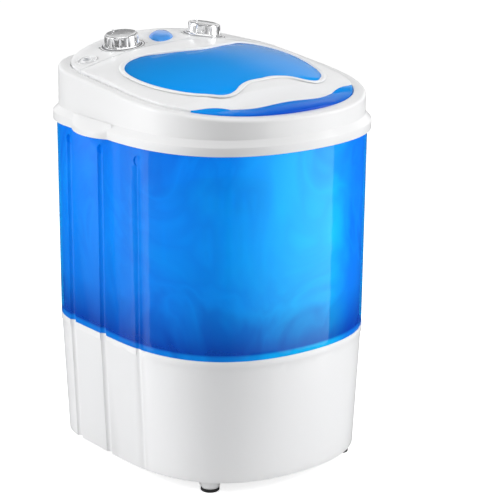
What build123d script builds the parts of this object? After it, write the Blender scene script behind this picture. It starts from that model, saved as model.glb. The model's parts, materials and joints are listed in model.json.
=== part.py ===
from build123d import *
import math
import os

os.makedirs("parts", exist_ok=True)

# Compact top-load washer: front faces -Y, +Z up, origin on the floor under the middle.
# ---- driving dimensions, mm ----
HALF_WIDTH = 162.0      # half width of the tub at its top
Y_WIDE = -10.2          # where the front curve of the plan begins
FRONT_REACH = 167.6     # from there to the front of the tub
FRONT_FULL = 0.66       # fullness of the front curve, 0.55 being an ellipse
Y_BACK = 79.2           # where the back curve begins
BACK_REACH = 98.6       # from there to the back of the tub
BACK_FULL = 0.72        # fullness of the back curve

FLOOR_GAP = 15.0        # underside of the base
SEAM_Z = 171.4          # top of the base, foot of the tub
TUB_TOP = 428.0         # top edge of the tub, inside the collar
TUB_FLOOR = 190.0       # inside floor of the tub
WALL = 2.6              # moulded wall
BASE_DRAFT = 8.3        # how far the base draws in at its foot
SEAM_DRAFT = 1.1        # how far the tub draws in at its foot

COLLAR_LOW = 419.2      # underside of the collar
COLLAR_HIGH = 429.4     # top of its flat band
COLLAR_PROUD = 4.5      # collar beyond the tub
SKIRT_IN = 2.3          # skirt behind the tub face
RIM_Z = 474.1           # rim height over the origin
RIM_SLOPE = 0.09        # rim rise per mm towards the back
RIM_WIDE = 14.0         # flat of the rim
SEAT_DROP = 9.0         # seat of the lid below the rim
OPENING_IN = 25.0       # washing opening behind the tub face
OPENING_BACK = 50.0     # back edge of the opening at its sides
OPENING_STEP = 66.0     # back edge of the opening in the middle

HINGE_Y = 74.0
HINGE_Z = 493.4
HINGE_X = 52.0          # middle of each hinge post
POST_R = 3.6            # hinge post, round at its top
EYE_R = 3.4             # lid's hinge knuckles
LID_BACK = 85.0         # back edge of the lid
PANEL_FRONT = 86.6      # front edge of the control panel
CROWN_RADIUS = 490.0    # side-to-side crown of lid and panel
SKIN = 2.2              # thickness of the white lid cover

KNOB_X = 62.5
KNOB_Y = 115.0
KNOB_LEAN = (0.127, -0.04, 0.991)   # outward normal of the panel at the right-hand knob

DRIVE_Y = -25.0         # axis of pulsator and basket
PULLEY_Z = 62.0         # middle of the belt
MOTOR_X, MOTOR_Y = 66.0, 74.0
FLUTES_Y = (-52.0, 20.0, 86.0)      # vertical flutes in each side


# ---- shared outlines and surfaces ----
def bow(half, reach, full, y_start, way):
    """Two tangent curves from the right side round to the left, bulging way * reach in Y."""
    tip = y_start + way * reach
    swell = y_start + way * reach * full
    Bezier((half, y_start), (half, swell), (half * full, tip), (0, tip))
    Bezier((0, tip), (-half * full, tip), (-half, swell), (-half, y_start))


def plan(inset, y_end=None):
    """Plan of the machine drawn in by inset; y_end cuts the back off straight."""
    half = HALF_WIDTH - inset
    with BuildLine() as loop:
        bow(half, FRONT_REACH - inset, FRONT_FULL, Y_WIDE, -1)
        if y_end is None:
            Line((half, Y_WIDE), (half, Y_BACK))
            bow(half, BACK_REACH - inset, BACK_FULL, Y_BACK, 1)
            Line((-half, Y_BACK), (-half, Y_WIDE))
        else:
            Polyline((half, Y_WIDE), (half, y_end), (-half, y_end), (-half, Y_WIDE))
    make_face(loop.edges())


def back_plan(inset, y_start):
    """The part of the plan behind y_start."""
    with BuildSketch() as whole:
        plan(inset)
        with Locations((0, y_start - 250)):
            Rectangle(500, 500, mode=Mode.SUBTRACT)
    add(whole.sketch)


def rim_height(y):
    return RIM_Z + RIM_SLOPE * y


def tilted(height):
    """Plane parallel to the rim, height above it."""
    return Plane(origin=(0, 0, RIM_Z + height), z_dir=(0, -RIM_SLOPE, 1))


def ridge_height(y):
    """Side profile of lid and panel on the centre line: low front ledge, a step up, then level."""
    ledge = 460.5 + 0.13 * (y + 161)
    climb, level = 500 + 0.163 * y, 503 + 0.03 * y
    top = 0.5 * (climb + level - math.hypot(climb - level, 4))
    share = 1 / (1 + math.exp(-(y + 112) / 5))
    return ledge * (1 - share) + top * share


def dome(x, y):
    """Top surface of lid and panel: crowned side to side, never below the rim."""
    low = rim_height(y) + 0.3
    high = ridge_height(y) - x * x / (2 * CROWN_RADIUS)
    return 0.5 * (low + high + math.sqrt((low - high) ** 2 + 9))


def under_dome(drop):
    """Everything below the dome moved down by drop."""
    grid = [[Vector(x, y, dome(x, y) - drop) for y in range(-192, 193, 12)]
            for x in range(-171, 172, 19)]
    top = Face.make_surface_from_array_of_points(grid, tol=0.05)
    return Solid.extrude(top, (0, 0, -220))


under_0, under_skin = under_dome(0), under_dome(SKIN)
under_shell, under_flush = under_dome(SKIN + 0.2), under_dome(0.5)
under_blue = under_dome(SKIN + 2.2)
LID_GAP = 1.5           # between lid or panel and the rim
LID_IN = SKIRT_IN + RIM_WIDE + LID_GAP


def window_outline(inset=0.0):
    """Bean-shaped window of the lid, the same on both sides."""
    half = [(0, -85), (25, -86), (43, -93.5), (54, -99.5), (67, -101), (82, -93), (98, -74), (110, -48),
            (118, -18), (120, 8), (116, 32), (104, 49), (89, 56), (74, 56), (56, 48), (38, 41.5), (18, 35),
            (0, 32)]
    shrink_x, shrink_y, middle_y = 1 - inset / 118, 1 - inset / 76, -22
    half = [(x * shrink_x, middle_y + (y - middle_y) * shrink_y) for x, y in half]
    left = [(-x, y) for x, y in half[-2:0:-1]]
    with BuildLine() as bean:
        Spline(*half, *left, periodic=True)
    make_face(bean.edges())


def grip_line(shift):
    """Wavy inner edge of the front handle."""
    half = [(0, -130.5), (28, -131.3), (52, -130), (68, -124.5), (86, -116), (104, -109), (124, -104),
            (150, -103)]
    return [(-x, y + shift) for x, y in half[:0:-1]] + [(x, y + shift) for x, y in half]


def handle_outline(shift=0.0):
    """Everything in front of the wavy edge."""
    line = grip_line(shift)
    with BuildLine() as loop:
        Spline(*line)
        Polyline(line[-1], (line[-1][0], -200), (line[0][0], -200), line[0])
    make_face(loop.edges())


def flutes(z0, x0, z1, x1, wide, places=FLUTES_Y, round_top=False):
    """Cut a vertical flute at each place on both sides, from z0 to z1."""
    for side in (-1, 1):
        for y in places:
            ends = []
            for z, x in ((z0, x0), (z1, x1)):
                with BuildSketch(Plane.XY.offset(z)) as end:
                    with Locations((side * (x + 20), y)):
                        SlotOverall(40, wide)
                ends.append(end.sketch)
            loft(ends, mode=Mode.SUBTRACT)
            if round_top:
                with BuildSketch(Plane.YZ.offset(side * x1)) as top:
                    with Locations((y, z1)):
                        Circle(wide / 2)
                extrude(top.sketch, amount=side * 20, mode=Mode.SUBTRACT)


def save(part, name):
    part.label = name
    export_step(part, f"parts/{name}.step")


def turned(profile, x, y):
    """Solid of revolution about an upright axis from (radius, height) points."""
    with BuildPart() as body:
        with BuildSketch(Plane.XZ) as half:
            with BuildLine() as loop:
                Polyline(*profile, close=True)
            make_face(loop.edges())
        revolve(half.sketch, axis=Axis.Z)
    return body.part.moved(Location((x, y, 0)))


# ---- base ----
BASE_WALL = 3.0
LIP_TALL = 8.0
FLUTE_WIDE, FLUTE_DEEP = 13.0, 4.0

with BuildPart() as base_cavity:
    with BuildSketch(Plane.XY.offset(FLOOR_GAP - 1)):
        plan(BASE_DRAFT + BASE_WALL)
    with BuildSketch(Plane.XY.offset(SEAM_Z - BASE_WALL)):
        plan(1.3 + BASE_WALL)
    loft()
    flutes(FLOOR_GAP - 2, HALF_WIDTH - BASE_DRAFT - FLUTE_DEEP - BASE_WALL,
           SEAM_Z, HALF_WIDTH - 1.3 - FLUTE_DEEP - BASE_WALL, FLUTE_WIDE + 2 * BASE_WALL)

BEARING_R = 34.0
SPIGOT_X, SPIGOT_Z = -60.0, 60.0
GLAND_X, GLAND_Z = 60.0, 60.0
TUB_SCREWS = [(x, y) for x in (-118, 118) for y in (-70, 50)] + [(0, -140), (0, 150)]

with BuildPart() as base_housing:
    with BuildSketch(Plane.XY.offset(FLOOR_GAP)):
        plan(BASE_DRAFT)
    with BuildSketch(Plane.XY.offset(SEAM_Z - LIP_TALL)):
        plan(1.6)
    loft()
    with BuildSketch(Plane.XY.offset(SEAM_Z - LIP_TALL)):
        plan(0.5)
    extrude(amount=LIP_TALL)
    flutes(FLOOR_GAP - 1, HALF_WIDTH - BASE_DRAFT - FLUTE_DEEP,
           SEAM_Z + 1, HALF_WIDTH - 1.3 - FLUTE_DEEP, FLUTE_WIDE)
    add(base_cavity.part, mode=Mode.SUBTRACT)
    with BuildSketch(Plane.XY.offset(SEAM_Z - BASE_WALL - 1)):
        with Locations((0, DRIVE_Y)):
            Circle(79)
    extrude(amount=BASE_WALL + 2, mode=Mode.SUBTRACT)
    with BuildSketch(Plane.XY.offset(SEAM_Z - BASE_WALL - 1)):
        with Locations(*TUB_SCREWS):
            Circle(2.3)
        with Locations((0, 164)):
            Rectangle(24, 10)
        with Locations((-100, 60)):
            Circle(10.5)
    extrude(amount=BASE_WALL + 2, mode=Mode.SUBTRACT)
    # Openings for the drain spigot and the cord gland in the back wall.
    with BuildSketch(Plane.XZ.offset(-150)):
        with Locations((SPIGOT_X, SPIGOT_Z)):
            Circle(13)
        with Locations((GLAND_X, GLAND_Z)):
            Circle(8)
    extrude(amount=-40, mode=Mode.SUBTRACT)
save(base_housing.part, "base_housing")

PLATE_Z = FLOOR_GAP + 1
FEET = [(x, y) for x in (-102.5, 102.5) for y in (-118.5, 120.5)]
with BuildPart() as bottom_plate:
    with BuildSketch(Plane.XY.offset(PLATE_Z)):
        plan(BASE_DRAFT + BASE_WALL + 0.6)
    extrude(amount=2.5)
    flutes(PLATE_Z - 1, HALF_WIDTH - BASE_DRAFT - FLUTE_DEEP - BASE_WALL - 0.7,
           PLATE_Z + 4, HALF_WIDTH - BASE_DRAFT - FLUTE_DEEP - BASE_WALL - 0.7,
           FLUTE_WIDE + 2 * BASE_WALL + 1.6)
    with BuildSketch(Plane.XY.offset(PLATE_Z)):
        with Locations((MOTOR_X - 40, MOTOR_Y)):
            with GridLocations(12, 0, 7, 1):
                SlotOverall(60, 5, rotation=90)
        with Locations(*FEET):
            Circle(4.2)
    extrude(amount=2.5, mode=Mode.SUBTRACT)
save(bottom_plate.part, "bottom_plate")

with BuildPart() as leg_profile:
    with BuildSketch(Plane.XZ):
        with BuildLine():
            Polyline((0, 4.1), (10.5, 4.1), (13, 8.5), (13, PLATE_Z - 0.1), (4, PLATE_Z - 0.1),
                     (4, PLATE_Z + 9), (0, PLATE_Z + 9), (0, 4.1))
        make_face()
    revolve(axis=Axis.Z)
with BuildPart() as foot_legs:
    with Locations(*[(x, y, 0) for x, y in FEET]):
        add(leg_profile.part)
save(foot_legs.part, "foot_legs")

with BuildPart() as foot_pads:
    with BuildSketch():
        with Locations(*FEET):
            Circle(11.5)
    extrude(amount=4)
    chamfer(foot_pads.edges().group_by(Axis.Z)[0], 0.8)
save(foot_pads.part, "foot_pads")

# ---- tub ----
FLUTE_TOP = TUB_TOP - 26.0
RECESS_R = 72.0
RECESS_Z = 180.0
with BuildPart() as tub_space:
    with BuildSketch(Plane.XY.offset(TUB_FLOOR)):
        plan(SEAM_DRAFT + WALL)
    with BuildSketch(Plane.XY.offset(TUB_TOP + 1)):
        plan(WALL)
    loft()
    flutes(TUB_FLOOR - 2, HALF_WIDTH - SEAM_DRAFT - FLUTE_DEEP - WALL,
           FLUTE_TOP, HALF_WIDTH - FLUTE_DEEP - WALL, FLUTE_WIDE + 2 * WALL, round_top=True)

with BuildPart() as tub_under:
    with BuildSketch(Plane.XY.offset(SEAM_Z)):
        plan(SEAM_DRAFT + WALL)
    extrude(amount=TUB_FLOOR - 3 - SEAM_Z)
    flutes(SEAM_Z - 1, HALF_WIDTH - SEAM_DRAFT - FLUTE_DEEP - WALL,
           TUB_FLOOR, HALF_WIDTH - SEAM_DRAFT - FLUTE_DEEP - WALL, FLUTE_WIDE + 2 * WALL)

with BuildPart() as tub:
    with BuildSketch(Plane.XY.offset(SEAM_Z + 0.2)):
        plan(SEAM_DRAFT)
    with BuildSketch(Plane.XY.offset(TUB_TOP)):
        plan(0)
    loft()
    flutes(SEAM_Z, HALF_WIDTH - SEAM_DRAFT - FLUTE_DEEP,
           FLUTE_TOP, HALF_WIDTH - FLUTE_DEEP, FLUTE_WIDE, round_top=True)
    add(tub_space.part, mode=Mode.SUBTRACT)
    add(tub_under.part, mode=Mode.SUBTRACT)
    # Pulsator recess, screw bosses and low ribs on the floor.
    with BuildSketch(Plane.XY.offset(RECESS_Z - 3)):
        with Locations((0, DRIVE_Y)):
            Circle(RECESS_R + 3)
    extrude(amount=TUB_FLOOR - RECESS_Z + 3)
    with BuildSketch(Plane.XY.offset(SEAM_Z + 0.2)):
        with Locations(*TUB_SCREWS):
            Circle(5)
    extrude(amount=TUB_FLOOR - 2 - SEAM_Z)
    with BuildSketch(Plane.XY.offset(TUB_FLOOR - 1)):
        with Locations((0, DRIVE_Y)):
            with PolarLocations(112, 20, start_angle=9):
                Rectangle(64, 2.4)
    extrude(amount=3.4)
    with BuildSketch(Plane.XY.offset(RECESS_Z)):
        with Locations((0, DRIVE_Y)):
            Circle(RECESS_R)
    extrude(amount=20, mode=Mode.SUBTRACT)
    with BuildSketch(Plane.XY.offset(RECESS_Z - 4)):
        with Locations((0, DRIVE_Y)):
            Circle(20.4)
    extrude(amount=8, mode=Mode.SUBTRACT)
    with BuildSketch(Plane.XY.offset(SEAM_Z)):
        with Locations(*TUB_SCREWS):
            Circle(1.6)
    extrude(amount=13, mode=Mode.SUBTRACT)
    # Drain hole at the left of the floor.
    with BuildSketch(Plane.XY.offset(TUB_FLOOR - 4)):
        with Locations((-100, 60)):
            Circle(9.4)
    extrude(amount=8, mode=Mode.SUBTRACT)
save(tub.part, "tub")

with BuildPart() as tub_screws:
    with BuildSketch(Plane.XY.offset(SEAM_Z - BASE_WALL - 3.2)):
        with Locations(*TUB_SCREWS):
            Circle(4.2)
    extrude(amount=3)
    with BuildSketch(Plane.XY.offset(SEAM_Z - BASE_WALL - 1)):
        with Locations(*TUB_SCREWS):
            Circle(1.5)
    extrude(amount=13)
save(tub_screws.part, "tub_screws")

# ---- top frame: collar, skirt, rim, seat and hinge posts ----
GRIP_Y0, GRIP_Y1, GRIP_OUT = -6.0, 78.0, 177.2
PIN_R = 2.0


def grip(side, out, low, high, out_high, mode=Mode.ADD):
    """Crescent hand grip swelling out of the collar on one side."""
    ends = []
    for z, reach in ((low, out), (high, out_high)):
        with BuildSketch(Plane.XY.offset(z)) as end:
            with BuildLine() as loop:
                Spline((side * 163, GRIP_Y0), (side * reach, 24), (side * reach, 44),
                       (side * 163, GRIP_Y1))
                Line((side * 163, GRIP_Y1), (side * 163, GRIP_Y0))
            make_face(loop.edges())
        ends.append(end.sketch)
    loft(ends, mode=mode)


def prism(inset, y_end=None, low=400, high=560):
    """Upright solid with the plan of the machine."""
    with BuildPart() as block:
        with BuildSketch(Plane.XY.offset(low)) as base:
            plan(inset, y_end)
        extrude(base.sketch, amount=high - low)
    return block.part


def rim_slice(inset, height):
    """Plan of the machine cut on a plane parallel to the rim."""
    with BuildPart() as block:
        add(prism(inset))
        split(bisect_by=tilted(height), keep=Keep.BOTTOM)
    return block.faces().sort_by(Axis.Z)[-1]


# The rim's outer edge rounds over in the last 4 mm.
with BuildPart() as skirt:
    add(prism(SKIRT_IN, None, COLLAR_HIGH - 4))
    split(bisect_by=tilted(-4), keep=Keep.BOTTOM)
    loft([rim_slice(SKIRT_IN, -4), rim_slice(SKIRT_IN + 0.5, -2), rim_slice(SKIRT_IN + 1.7, -0.6),
          rim_slice(SKIRT_IN + 4, 0)])

with BuildPart() as frame_outer:
    with BuildSketch(Plane.XY.offset(COLLAR_LOW)):
        plan(-COLLAR_PROUD)
    extrude(amount=COLLAR_HIGH - COLLAR_LOW)
    with BuildSketch(Plane.XY.offset(COLLAR_HIGH)):
        plan(-COLLAR_PROUD)
    with BuildSketch(Plane.XY.offset(COLLAR_HIGH + 7.5)):
        plan(SKIRT_IN)
    loft()
    add(skirt.part)
    for side in (-1, 1):
        grip(side, GRIP_OUT, COLLAR_LOW, COLLAR_LOW + 7, GRIP_OUT - 0.6)
        grip(side, GRIP_OUT - 0.6, COLLAR_LOW + 7, COLLAR_HIGH + 8, 164)

with BuildPart() as frame_pocket:
    add(prism(SKIRT_IN + RIM_WIDE))
    split(bisect_by=tilted(-SEAT_DROP), keep=Keep.TOP)

with BuildPart() as frame_hollow:
    add(prism(SKIRT_IN + WALL))
    split(bisect_by=tilted(-SEAT_DROP - 3), keep=Keep.BOTTOM)

with BuildPart() as rim_channel:
    add(prism(SKIRT_IN + WALL))
    add(prism(SKIRT_IN + RIM_WIDE - WALL), mode=Mode.SUBTRACT)
    split(bisect_by=tilted(-3), keep=Keep.BOTTOM)

with BuildPart() as frame_opening:
    with BuildSketch(Plane.XY.offset(400)):
        plan(OPENING_IN, OPENING_BACK)
        with Locations((0, (OPENING_BACK + OPENING_STEP) / 2 - 5)):
            Rectangle(106, OPENING_STEP - OPENING_BACK + 10)
        fillet(vertices().group_by(Axis.Y)[-1], 14)
    extrude(amount=100)

with BuildPart() as opening_lip:
    with BuildSketch(Plane.XY.offset(400)):
        plan(OPENING_IN - WALL, OPENING_BACK + WALL)
        with Locations((0, (OPENING_BACK + OPENING_STEP) / 2 - 5)):
            Rectangle(106 + 2 * WALL, OPENING_STEP - OPENING_BACK + 10 + 2 * WALL)
    extrude(amount=100)
    split(bisect_by=tilted(-SEAT_DROP - 1), keep=Keep.BOTTOM)
    split(bisect_by=tilted(-SEAT_DROP - 14), keep=Keep.TOP)

with BuildPart() as top_frame:
    add(frame_outer.part)
    add(frame_pocket.part, mode=Mode.SUBTRACT)
    add(frame_hollow.part, mode=Mode.SUBTRACT)
    add(rim_channel.part, mode=Mode.SUBTRACT)
    # Room for the tub edge inside the collar, and finger room under each grip.
    add(prism(-0.4, None, COLLAR_LOW - 1, TUB_TOP + 0.4), mode=Mode.SUBTRACT)
    for side in (-1, 1):
        grip(side, GRIP_OUT - 2.6, COLLAR_LOW - 1, COLLAR_LOW + 5, GRIP_OUT - 3.2, Mode.SUBTRACT)
    add(opening_lip.part)
    add(frame_opening.part, mode=Mode.SUBTRACT)
    # Hinge posts on the seat, with their pin holes.
    for x in (-HINGE_X, HINGE_X):
        with BuildSketch(Plane.YZ.offset(x - 5.5)):
            with Locations((HINGE_Y, HINGE_Z)):
                Circle(POST_R)
            with Locations((HINGE_Y, HINGE_Z - 11.5)):
                Rectangle(2 * POST_R, 23)
        extrude(amount=11)
    with BuildSketch(Plane.YZ.offset(-HINGE_X - 10)):
        with Locations((HINGE_Y, HINGE_Z)):
            Circle(PIN_R + 0.08)
    extrude(amount=2 * HINGE_X + 20, mode=Mode.SUBTRACT)
    # Deck openings for the two timers, the inlet tube and the wiring.
    with BuildSketch(Plane.XY.offset(460)):
        with Locations((-KNOB_X, KNOB_Y + 2), (KNOB_X, KNOB_Y + 2)):
            Rectangle(54, 50)
        with Locations((-118, 108)):
            Circle(11)
        with Locations((0, 150)):
            Rectangle(24, 10)
    extrude(amount=26, mode=Mode.SUBTRACT)
save(top_frame.part, "top_frame")


# ---- control panel ----
def hinge_sweep(extra):
    """Solid swept by the lid's back edge as it turns about the hinge axis."""
    rise = ridge_height(LID_BACK) - HINGE_Z
    edge = [(x, math.hypot(LID_BACK - HINGE_Y, max(rise - x * x / (2 * CROWN_RADIUS), 0)) + extra)
            for x in range(-160, 161, 20)]
    axis_plane = Plane(origin=(0, HINGE_Y, HINGE_Z), x_dir=(1, 0, 0), z_dir=(0, -1, 0))
    with BuildPart() as sweep_part:
        with BuildSketch(axis_plane) as half:
            with BuildLine() as loop:
                Spline(*edge)
                Polyline(edge[-1], (edge[-1][0], 0), (edge[0][0], 0), edge[0])
            make_face(loop.edges())
        revolve(half.sketch, axis=Axis((0, HINGE_Y, HINGE_Z), (1, 0, 0)))
    return sweep_part.part


def knob_plane(side):
    """Plane on the panel under a knob, square to its shaft."""
    x, y, z = KNOB_LEAN
    return Plane(origin=(side * KNOB_X, KNOB_Y, dome(KNOB_X, KNOB_Y)), x_dir=(z, 0, -side * x),
                 z_dir=(side * x, y, z))


INLET_X, INLET_Y = -121.0, 106.0
INLET_PLANE = Plane(origin=(INLET_X, INLET_Y, dome(INLET_X, INLET_Y)), z_dir=(-0.25, -0.05, 0.967))
INLET_BORE = 5.0


def leaf(inset):
    """Leaf with two pointed tips, slanted across the middle of the panel."""
    near, far = (-17, 98), (17, 140)
    middle_x, middle_y = 0, 119
    swell = 14 - inset
    tip = 1 - inset / 14
    a = (near[0] * tip, middle_y + (near[1] - middle_y) * tip)
    b = (far[0] * tip, middle_y + (far[1] - middle_y) * tip)
    with BuildLine() as loop:
        ThreePointArc(a, (middle_x - 0.777 * swell, middle_y + 0.629 * swell), b)
        ThreePointArc(b, (middle_x + 0.777 * swell, middle_y - 0.629 * swell), a)
    make_face(loop.edges())


with BuildPart() as panel_inside:
    with BuildSketch(Plane.XY.offset(430)):
        back_plan(LID_IN + 2.4, PANEL_FRONT + 2.4)
    extrude(amount=120)
    add(under_dome(2.8), mode=Mode.INTERSECT)
    add(hinge_sweep(3.0), mode=Mode.SUBTRACT)

with BuildPart() as control_panel:
    with BuildSketch(Plane.XY.offset(430)):
        back_plan(LID_IN, PANEL_FRONT)
    extrude(amount=120)
    add(under_0, mode=Mode.INTERSECT)
    split(bisect_by=tilted(-SEAT_DROP + 0.3), keep=Keep.TOP)
    add(hinge_sweep(0.6), mode=Mode.SUBTRACT)
    add(panel_inside.part, mode=Mode.SUBTRACT)
    for side in (-1, 1):
        with BuildSketch(knob_plane(side)) as seat:
            Circle(24.3)
        extrude(seat.sketch, amount=-1.2, mode=Mode.SUBTRACT)
        extrude(seat.sketch, amount=6, mode=Mode.SUBTRACT)
        with BuildSketch(knob_plane(side)) as hole:
            Circle(4.3)
        extrude(hole.sketch, amount=-10, mode=Mode.SUBTRACT)
    with BuildSketch(Plane.XY.offset(490)):
        leaf(0)
    extrude(amount=30, mode=Mode.SUBTRACT)
    with BuildSketch(INLET_PLANE) as inlet_hole:
        Circle(13.4)
    extrude(inlet_hole.sketch, amount=6, both=True, mode=Mode.SUBTRACT)
    # Slot for the lid's tab.
    with BuildSketch(Plane.XY.offset(460)):
        with Locations((94, PANEL_FRONT + 4)):
            Rectangle(26, 12)
    extrude(amount=32.5, mode=Mode.SUBTRACT)
save(control_panel.part, "control_panel")

with BuildPart() as leaf_window:
    with BuildSketch(Plane.XY.offset(480)):
        leaf(0.3)
    extrude(amount=40)
    add(under_dome(-0.8), mode=Mode.INTERSECT)
    add(under_dome(SKIN + 1.8), mode=Mode.SUBTRACT)
save(leaf_window.part, "leaf_window")

with BuildPart() as inlet_cup:
    with BuildSketch(Plane(origin=INLET_PLANE.origin, x_dir=INLET_PLANE.x_dir,
                           z_dir=-INLET_PLANE.y_dir)):
        with BuildLine():
            Polyline((INLET_BORE, 1.2), (7.5, 1.2), (8.2, -2.6), (11, -2.6), (11.6, 1.0), (13, 1.0),
                     (13, -4.6), (7, -4.6), (7, -18), (INLET_BORE, -18), (INLET_BORE, 1.2))
        make_face()
    revolve(axis=Axis(INLET_PLANE.origin, INLET_PLANE.z_dir))
save(inlet_cup.part, "inlet_cup")

# ---- timers and knobs ----
KNOB_FOOT, KNOB_HIGH = -0.5, 14.6
SHAFT_R = 3.0


def timer_case(side):
    plane = knob_plane(side)
    with BuildPart() as case:
        with BuildSketch(plane.offset(-29)) as body:
            RectangleRounded(40, 30, 3)
        extrude(body.sketch, amount=24)
        with BuildSketch(plane.offset(-5.2)) as collar:
            Circle(3.9)
        extrude(collar.sketch, amount=3)
        with BuildSketch(plane.offset(-14)) as bore:
            Circle(SHAFT_R + 0.06)
        extrude(bore.sketch, amount=14, mode=Mode.SUBTRACT)
    return case.part


def timer_shaft(side):
    with BuildPart() as shaft:
        with BuildSketch(knob_plane(side).offset(-13.5)) as end:
            Circle(SHAFT_R)
        extrude(end.sketch, amount=23)
    return shaft.part


# Fluted knob with a dished top, a skirt and a small pointer, upright at the origin.
with BuildPart() as knob:
    add(turned([(0, KNOB_HIGH - 1.6), (15, KNOB_HIGH - 1.1), (18.5, KNOB_HIGH), (19.9, KNOB_HIGH - 0.5),
                (20.5, KNOB_HIGH - 1.6), (22, 2.4), (23.6, 1.4), (23.6, KNOB_FOOT), (20, KNOB_FOOT),
                (18.6, 10), (6, 10), (6, KNOB_FOOT), (SHAFT_R + 0.02, KNOB_FOOT),
                (SHAFT_R + 0.02, 10), (0, 10)], 0, 0))
    with BuildSketch(Plane.XY.offset(2.2)) as grooves:
        with PolarLocations(22.7, 14):
            Circle(2.4)
    extrude(grooves.sketch, amount=KNOB_HIGH - 4.2, mode=Mode.SUBTRACT)
    with BuildSketch(Plane.XY.offset(KNOB_HIGH - 2)) as nub:
        with Locations((0, 17)):
            Circle(1.5)
    extrude(nub.sketch, amount=3.2)


for side, name in ((-1, "wash"), (1, "spin")):
    save(timer_case(side), name + "_timer_case")
    save(timer_shaft(side), name + "_timer_shaft")
    save(knob.part.moved(knob_plane(side).location), name + "_knob")

# ---- lid ----
SHELL_IN = LID_IN + SKIN + 0.3
TAB_X, TAB_Z, TAB_WIDE = 94.0, 487.8, 22.0

# Room under the lid's back corners, so that they clear the seat as the lid turns.
with BuildPart() as heel_room:
    with BuildSketch(Plane.XY.offset(440)):
        with Locations((0, HINGE_Y + 12)):
            Rectangle(400, 40)
    extrude(amount=HINGE_Z - 14 - 440)

with BuildPart() as cover_inside:
    add(prism(LID_IN + SKIN, LID_BACK + 5))
    add(under_skin, mode=Mode.INTERSECT)

with BuildPart() as lid_cover:
    add(prism(LID_IN, LID_BACK))
    add(under_0, mode=Mode.INTERSECT)
    split(bisect_by=tilted(-SEAT_DROP + 2), keep=Keep.TOP)
    add(cover_inside.part, mode=Mode.SUBTRACT)
    with BuildSketch(Plane.XY.offset(440)):
        window_outline()
        handle_outline()
    extrude(amount=90, mode=Mode.SUBTRACT)
    add(heel_room.part, mode=Mode.SUBTRACT)
save(lid_cover.part, "lid_cover")

with BuildPart() as shell_inside:
    add(prism(SHELL_IN + 2.2, LID_BACK + 5))
    add(under_blue, mode=Mode.INTERSECT)

with BuildPart() as window_pad:
    with BuildSketch(Plane.XY.offset(440)):
        window_outline(0.35)
    extrude(amount=90)
    add(under_flush, mode=Mode.INTERSECT)
    add(under_dome(SKIN + 1), mode=Mode.SUBTRACT)

with BuildPart() as handle_pad:
    with BuildSketch(Plane.XY.offset(440)):
        handle_outline(-0.35)
    extrude(amount=90)
    add(prism(LID_IN, LID_BACK), mode=Mode.INTERSECT)
    add(under_0, mode=Mode.INTERSECT)
    add(shell_inside.part, mode=Mode.SUBTRACT)

# Hinge knuckles on both sides of each post.
with BuildPart() as knuckles:
    for x in (-HINGE_X, HINGE_X):
        for start in (x - 14.5, x + 6):
            with BuildSketch(Plane.YZ.offset(start)) as eye:
                with Locations((HINGE_Y, HINGE_Z)):
                    Circle(EYE_R)
                with Locations((HINGE_Y, HINGE_Z + 6)):
                    Rectangle(5, 12)
            extrude(eye.sketch, amount=8.5)
    # Tab that reaches back under the panel to the lid switch.
    with BuildSketch(Plane.XY.offset(TAB_Z)) as tab:
        with Locations((TAB_X, 86)):
            Rectangle(TAB_WIDE, 15)
    extrude(tab.sketch, amount=2.6)
    with BuildSketch(Plane.XY.offset(TAB_Z + 1)) as web:
        with Locations((TAB_X, 81)):
            Rectangle(TAB_WIDE, 5)
    extrude(web.sketch, amount=8)
    add(under_dome(SKIN + 1.2), mode=Mode.INTERSECT)
    with BuildSketch(Plane.YZ.offset(-HINGE_X - 20)) as bore:
        with Locations((HINGE_Y, HINGE_Z)):
            Circle(PIN_R + 0.02)
    extrude(bore.sketch, amount=2 * HINGE_X + 40, mode=Mode.SUBTRACT)

with BuildPart() as lid_shell:
    add(prism(SHELL_IN, LID_BACK - 1))
    add(under_shell, mode=Mode.INTERSECT)
    add(shell_inside.part, mode=Mode.SUBTRACT)
    add(window_pad.part)
    add(handle_pad.part)
    split(bisect_by=tilted(-SEAT_DROP + 2.4), keep=Keep.TOP)
    add(heel_room.part, mode=Mode.SUBTRACT)
    add(knuckles.part)
save(lid_shell.part, "lid_shell")

with BuildPart() as hinge_pins:
    for x in (-HINGE_X - 14, HINGE_X - 14):
        with BuildSketch(Plane.YZ.offset(x)) as end:
            with Locations((HINGE_Y, HINGE_Z)):
                Circle(PIN_R)
        extrude(end.sketch, amount=28)
save(hinge_pins.part, "hinge_pins")

RIGHT_CLIPS = [(84, -108), (60, -107), (124, -28), (122, 40), (40, 50), (118, 72), (86, 70)]
CLIPS = [(0, -119)] + RIGHT_CLIPS + [(-x, y) for x, y in RIGHT_CLIPS]
with BuildPart() as lid_clips:
    with BuildSketch(Plane.XY.offset(440)):
        with Locations(*CLIPS):
            Rectangle(7, 4)
    extrude(amount=90)
    add(under_dome(SKIN + 2.3), mode=Mode.INTERSECT)
    add(under_dome(SKIN + 3.6), mode=Mode.SUBTRACT)
save(lid_clips.part, "lid_clips")

with BuildPart() as lid_plug:
    with BuildSketch(Plane.XY.offset(440)):
        with Locations((0, -97)):
            Circle(8)
    extrude(amount=90)
    add(under_dome(SKIN + 2.3), mode=Mode.INTERSECT)
    add(under_dome(SKIN + 5), mode=Mode.SUBTRACT)
save(lid_plug.part, "lid_plug")

with BuildPart() as lid_switch:
    with BuildSketch(Plane.XY.offset(477)):
        with Locations((95, 103)):
            RectangleRounded(18, 8, 1)
    extrude(amount=13)
save(lid_switch.part, "lid_switch")

# ---- pulsator and its drive ----
SHAFT = 5.0
HUB_R = 15.0


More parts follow.
